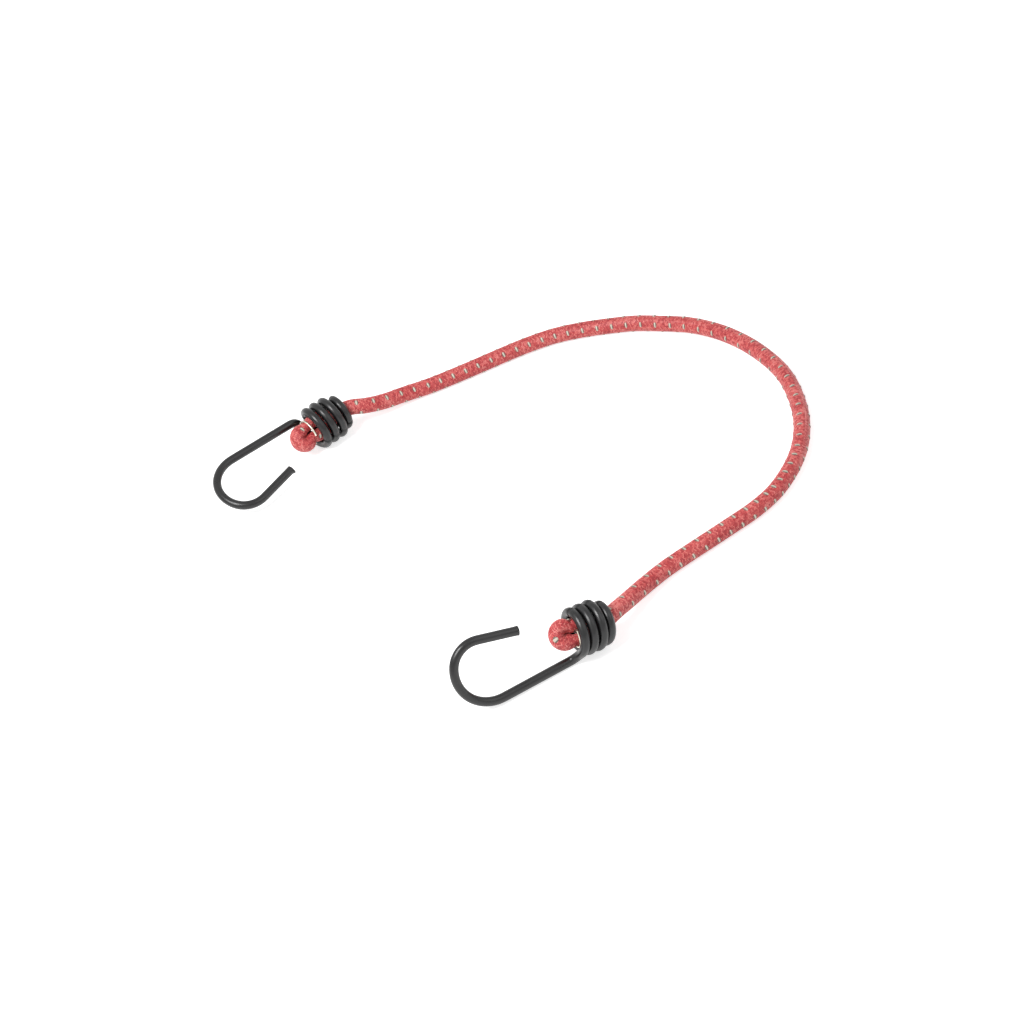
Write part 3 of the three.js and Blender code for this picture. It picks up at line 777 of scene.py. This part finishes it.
# Tracer yarn: its bars lie on a helix, four to a turn. TRACER_TURNS gives the place of every so
# many turns along the free cord, from FREE_START on, and TRACER_ANGLE the angle of a turn's first
# bar at such a place, from the top towards the right of the way from left to right.
BARS_A_TURN, FIRST_BAR, LAST_BAR = 4, -4, 238
FREE_START = (-5.6, 125.1, 11.0)
TRACER_TURNS = [
    (-1, -4.8), (0, 4.0), (1, 12.2), (2, 19.4), (3, 27.4), (5, 42.2), (9, 69.0), (16, 118.3),
    (20, 149.5), (24, 182.8), (26, 201.4), (28.75, 229.6), (29.75, 240.1), (31.75, 259.4),
    (33.75, 278.2), (35.75, 294.2), (39.75, 326.8), (41.75, 339.8), (42.75, 345.9),
    (45.75, 362.4), (47.75, 374.9), (51.75, 402.3), (54.75, 424.5), (55.75, 433.2),
    (57.75, 452.8), (59.75, 473.0),
]
TRACER_ANGLE = [
    (0, 26), (30, 45), (60, 56), (100, 59), (122, 64), (150, 66), (180, 68), (205, 74),
    (235, 82), (245, 82), (262, 95), (290, 88), (305, 95), (320, 88), (335, 78), (355, 76),
    (386, 87), (400, 91), (450, 88),
]
# Tracer bars on the two folds: the place along the whole cord and the angle round it
FOLD_TRACERS = [(13.2, 96), (31.2, 117), (546.6, 236), (557.6, 333)]


def tracer_spots(free_start):
    """(place along the cord, angle round it) of each tracer bar, in millimetres and radians."""
    spots = []
    for number in range(FIRST_BAR, LAST_BAR + 1):
        place = np.interp(number / BARS_A_TURN, *zip(*TRACER_TURNS))
        angle = np.interp(place, *zip(*TRACER_ANGLE)) + 360 / BARS_A_TURN * number
        spots.append((free_start + place, math.radians(angle)))
    return spots + [(place, math.radians(angle)) for place, angle in FOLD_TRACERS]


nearest = float(np.argmin(np.linalg.norm(cord_line - np.array(FREE_START), axis=1)))
spots = tracer_spots(nearest * cord_length / (len(cord_line) - 1))
spot_mesh = bpy.data.meshes.new("tracer_spots")
spot_mesh.from_pydata([(0, 0, place * MM) for place, _ in spots], [], [])
spot_mesh.attributes.new("angle", "FLOAT", "POINT").data.foreach_set(
    "value", [angle for _, angle in spots]
)
spot_object = bpy.data.objects.new("tracer_spots", spot_mesh)
bpy.context.scene.collection.objects.link(spot_object)
# The tracer's second colour is painted shade along the edges of its bars
tracer = build(
    "tracer_yarn", tracer_tree(), cord_path, half_length=1.42 * MM, half_width=0.92 * MM,
    half_height=0.4 * MM, facets=8, bands=6, slant=math.radians(6), radius=3.83 * MM, seed=5,
    material=tracer_material("retro_reflective_tracer", "#cdc5b4", "#655f55"),
)
bpy.data.objects.remove(spot_object)

# ---- The hooks ----

pvc = coating_material()
steel = metal_material("drawn_steel_wire", "#8f8f8c", "#b4b4b0", 0.35, 900.0)
coatings, wires = {}, {}
for side, hook in HOOKS.items():
    coatings[side] = build(
        f"{side}_hook_sleeve", sleeve, hook_paths[side], length=hook["length"] * MM,
        radius=WIRE_RADIUS * MM, bore_radius=BORE_RADIUS * MM, chamfer=0.12 * MM,
        rings=round(hook["length"] / 0.55), sides=28, lip=hook["rim_lip"] * MM,
        burr=hook["rim_burr"] * MM, material=pvc,
    )
    wires[side] = build(
        f"{side}_hook_steel", rod, hook_paths[side], length=hook["length"] * MM,
        radius=STEEL_RADIUS * MM, inset=0.3 * MM, rings=round(hook["length"] / 0.8), sides=20,
        material=steel,
    )

# ---- The latex core ----

core = build(
    "latex_core", core_tree(), cord_path, length=cord_length * MM, inset=0.3 * MM,
    thread=1.2 * MM, spacing=1.3 * MM, rings=round(cord_length / 1.6),
    material=latex_material(),
)

# ---- The clips ----

zinc = metal_material("zinc_plated_clip_wire", "#d8d2c0", "#f0ebdc", 0.3, 600.0)
clips = {}
for side, hook in HOOKS.items():
    axis, around = coil_axes(hook)
    middle = Vector(hook["mouth"]) + axis * (hook["clip_depth"] + CLIP_WIDE / 2)
    start = LEG_ANGLE + hook["clip_turn"] + CLIP_OPENING
    ring = [middle + around(start + (360 - CLIP_OPENING) * step / CLIP_STEPS) * CLIP_RADIUS
            for step in range(CLIP_STEPS + 1)]
    squeezes = np.array([[CLIP_THICK / CLIP_WIDE, 1.0]] * len(ring))
    clip_path = path_object(f"{side}_clip_path", ring, [axis] * len(ring), squeezes)
    clips[side] = build(
        f"{side}_clip", rod, clip_path, length=length_of(ring) * MM,
        radius=CLIP_WIDE / 2 * MM, inset=0.02 * MM, rings=CLIP_STEPS, sides=16, material=zinc,
    )
    bpy.data.objects.remove(clip_path)

for path in (cord_path, *hook_paths.values()):
    bpy.data.objects.remove(path)

# ---- What each piece rides on and stands for ----

for piece in (cover, *yarns, tracer):
    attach(piece, "cord")
    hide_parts("cord_cover")
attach(core, "cord")
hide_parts(*(f"core_strand_{number}" for number in range(1, 10)))
for side in HOOKS:
    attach(clips[side], "cord")
    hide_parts(f"{side}_cord_clip")
    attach(coatings[side], f"{side}_hook")
    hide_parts(f"{side}_hook_coating")
    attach(wires[side], f"{side}_hook")
    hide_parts(f"{side}_hook_wire")

# ---- The floor and the light ----

# How strongly the floor and the world shine where they are seen, and how strongly the world
# lights the object
FLOOR_GLOW, WORLD_SEEN, WORLD_LIGHT = 0.7, 1.0, 0.3


def seen_rays(tree):
    """1 for a ray that comes from the camera, straight, mirrored or let through, and else 0."""
    rays = add(tree, "ShaderNodeLightPath").outputs
    seen = add(tree, "ShaderNodeMath", {0: rays["Is Camera Ray"], 1: rays["Is Glossy Ray"]},
               operation="MAXIMUM")
    return add(tree, "ShaderNodeMath", {0: seen, 1: rays["Is Transmission Ray"]},
               operation="MAXIMUM")


def make_floor():
    """A plain white floor that the camera sees as white, with the object's soft shadow."""
    bpy.ops.mesh.primitive_plane_add(size=8.0, location=(0, 0, -0.0003))
    floor = bpy.context.object
    floor.name = "floor"
    material = bpy.data.materials.new("white_sweep_paper")
    material.use_nodes = True
    tree = material.node_tree
    shader = tree.nodes["Principled BSDF"]
    shader.inputs["Base Color"].default_value = linear("#f4f4f4")
    shader.inputs["Roughness"].default_value = 0.9
    glow = add(tree, "ShaderNodeMath", {0: seen_rays(tree), 1: FLOOR_GLOW}, operation="MULTIPLY")
    shader.inputs["Emission Color"].default_value = (1, 1, 1, 1)
    tree.links.new(glow.outputs[0], shader.inputs["Emission Strength"])
    floor.data.materials.append(material)


def make_light(name, place, size, power):
    """A square soft box at a place in millimetres, aimed at the middle of the picture. Its size
    is in metres and its power in watts."""
    data = bpy.data.lights.new(name, "AREA")
    data.size, data.energy = size, power
    light = bpy.data.objects.new(name, data)
    light.location = Vector(place) * MM
    aim = TARGET * MM - light.location
    light.rotation_mode = "QUATERNION"
    light.rotation_quaternion = aim.to_track_quat("-Z", "Y")
    bpy.context.scene.collection.objects.link(light)


def make_world():
    """White wherever it is seen, and a plain, weaker light from all sides."""
    world = bpy.data.worlds.new("studio")
    world.use_nodes = True
    tree = world.node_tree
    strength = add(tree, "ShaderNodeMapRange", {0: seen_rays(tree), 3: WORLD_LIGHT, 4: WORLD_SEEN})
    back = tree.nodes["Background"]
    back.inputs[0].default_value = (1, 1, 1, 1)
    tree.links.new(strength.outputs[0], back.inputs[1])
    bpy.context.scene.world = world


make_floor()
make_light("key", (-560, -400, 1100), 0.6, 15.5)
make_light("fill", (900, -500, 900), 1.0, 2.5)
make_world()
bpy.context.scene.view_settings.view_transform = "Standard"
